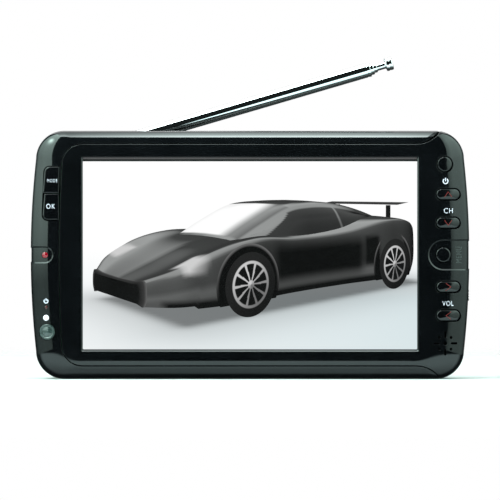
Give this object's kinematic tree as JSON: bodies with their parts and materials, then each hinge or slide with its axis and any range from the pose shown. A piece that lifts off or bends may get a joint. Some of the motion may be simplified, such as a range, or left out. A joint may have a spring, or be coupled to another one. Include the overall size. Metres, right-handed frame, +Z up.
{
  "type": "portable television",
  "caption": "Slim upright pocket television with a wide flat screen, push buttons down both sides, side sockets, a telescopic aerial on the back and a fold-out rear stand.",
  "frame": {"origin": "middle of the flat bottom face, on the case's centre plane", "axes": "+X to the viewer's right along the screen's width, +Y from the screen to the back, +Z up"},
  "size_m": [0.2028, 0.0302, 0.1495],
  "materials": {
    "case_gloss": "polished black",
    "case_rear": "fine satin black",
    "button": "polished black",
    "screw": "zinc plated",
    "gasket": "closed-cell foam",
    "sheet_steel": "plain pressed sheet",
    "lcd": "display panel",
    "white_plastic": "satin white",
    "film": "amber film",
    "board": "solder-masked fibreglass",
    "black_plastic": "satin black",
    "red_lens": "clear red",
    "dark_red_lens": "dark red",
    "white_lens": "milky white",
    "grey_lens": "clear grey",
    "led": "clear",
    "cloth": "fine woven",
    "cone": "pressed",
    "lead": "insulated wire",
    "battery": "shrink sleeve",
    "av_plastic": "satin yellow",
    "chrome": "bright chrome",
    "pad": "moulded rubber"
  },
  "bodies": {
    "case": {"front_panel": "case_gloss", "outer_frame": "case_gloss", "rear_cover": "case_rear", "case_screws": "screw", "display_gasket": "gasket", "display_frame": "sheet_steel", "display_glass": "lcd", "backlight_unit": "white_plastic", "display_ribbon": "film", "right_key_board": "board", "left_key_board": "board", "right_key_switches": "black_plastic", "left_key_switches": "black_plastic", "key_ribbons": "white_plastic", "charge_lens": "red_lens", "power_lens": "dark_red_lens", "status_lens": "white_lens", "remote_lens": "grey_lens", "remote_receiver": "black_plastic", "indicator_leds": "led", "speaker": "cone", "speaker_cloth": "cloth", "speaker_leads": "lead", "chassis_plate": "sheet_steel", "chassis_screws": "screw", "main_board": "board", "board_screws": "screw", "board_chips": "black_plastic", "board_connectors": "white_plastic", "tuner_can": "sheet_steel", "battery_pack": "battery", "battery_leads": "lead", "earphone_jack": "black_plastic", "av_jack": "av_plastic", "dc_jack": "black_plastic", "usb_port": "sheet_steel", "card_slot": "sheet_steel", "slide_switch": "sheet_steel", "aerial_lead": "lead", "stand_pin": "screw"},
    "power_key": {"power_button": "button"},
    "channel_up_key": {"channel_up_button": "button"},
    "channel_down_key": {"channel_down_button": "button"},
    "menu_key": {"menu_button": "button"},
    "volume_up_key": {"volume_up_button": "button"},
    "volume_down_key": {"volume_down_button": "button"},
    "mode_key": {"mode_button": "button"},
    "ok_key": {"ok_button": "button"},
    "switch_slider": {"switch_knob": "button"},
    "aerial_base": {"aerial_swivel": "chrome", "aerial_pin": "chrome", "aerial_washer": "screw", "aerial_screw": "screw"},
    "aerial_arm": {"aerial_tube": "chrome"},
    "aerial_mid": {"aerial_section_2": "chrome"},
    "aerial_inner": {"aerial_section_3": "chrome"},
    "aerial_end": {"aerial_tip": "chrome"},
    "stand": {"stand_plate": "case_rear", "stand_pad": "pad"}
  },
  "joints": [
    {"name": "power_press", "type": "slide", "parent": "case", "child": "power_key", "axis": [0, 1, 0], "range_m": [0, 0.0006], "stiffness_N_per_m": 40},
    {"name": "channel_up_press", "type": "slide", "parent": "case", "child": "channel_up_key", "axis": [0, 1, 0], "range_m": [0, 0.0006], "stiffness_N_per_m": 40},
    {"name": "channel_down_press", "type": "slide", "parent": "case", "child": "channel_down_key", "axis": [0, 1, 0], "range_m": [0, 0.0006], "stiffness_N_per_m": 40},
    {"name": "menu_press", "type": "slide", "parent": "case", "child": "menu_key", "axis": [0, 1, 0], "range_m": [0, 0.0006], "stiffness_N_per_m": 40},
    {"name": "volume_up_press", "type": "slide", "parent": "case", "child": "volume_up_key", "axis": [0, 1, 0], "range_m": [0, 0.0006], "stiffness_N_per_m": 40},
    {"name": "volume_down_press", "type": "slide", "parent": "case", "child": "volume_down_key", "axis": [0, 1, 0], "range_m": [0, 0.0006], "stiffness_N_per_m": 40},
    {"name": "mode_press", "type": "slide", "parent": "case", "child": "mode_key", "axis": [0, 1, 0], "range_m": [0, 0.0006], "stiffness_N_per_m": 40},
    {"name": "ok_press", "type": "slide", "parent": "case", "child": "ok_key", "axis": [0, 1, 0], "range_m": [0, 0.0006], "stiffness_N_per_m": 40},
    {"name": "switch_slide", "type": "slide", "parent": "case", "child": "switch_slider", "axis": [0, 0, 1], "range_m": [0, 0.003]},
    {"name": "aerial_raise", "type": "hinge", "parent": "case", "child": "aerial_base", "pos_m": [-0.0694, 0.0113, 0.107], "axis": [0, -1, 0], "range_deg": [-16.3, 118.7]},
    {"name": "aerial_lean", "type": "hinge", "parent": "aerial_base", "child": "aerial_arm", "pos_m": [-0.0694, 0.0113, 0.107], "axis": [-0.2807, 0, 0.9598], "range_deg": [0, 90]},
    {"name": "aerial_pull_2", "type": "slide", "parent": "aerial_arm", "child": "aerial_mid", "axis": [0.9598, 0, 0.2807], "range_m": [0, 0.11]},
    {"name": "aerial_pull_3", "type": "slide", "parent": "aerial_mid", "child": "aerial_inner", "axis": [0.9598, 0, 0.2807], "range_m": [0, 0.11]},
    {"name": "aerial_pull_tip", "type": "slide", "parent": "aerial_inner", "child": "aerial_end", "axis": [0.9598, 0, 0.2807], "range_m": [0, 0.11]},
    {"name": "stand_open", "type": "hinge", "parent": "case", "child": "stand", "pos_m": [0, 0.0134, 0.063], "axis": [1, 0, 0], "range_deg": [0, 34]}
  ]
}
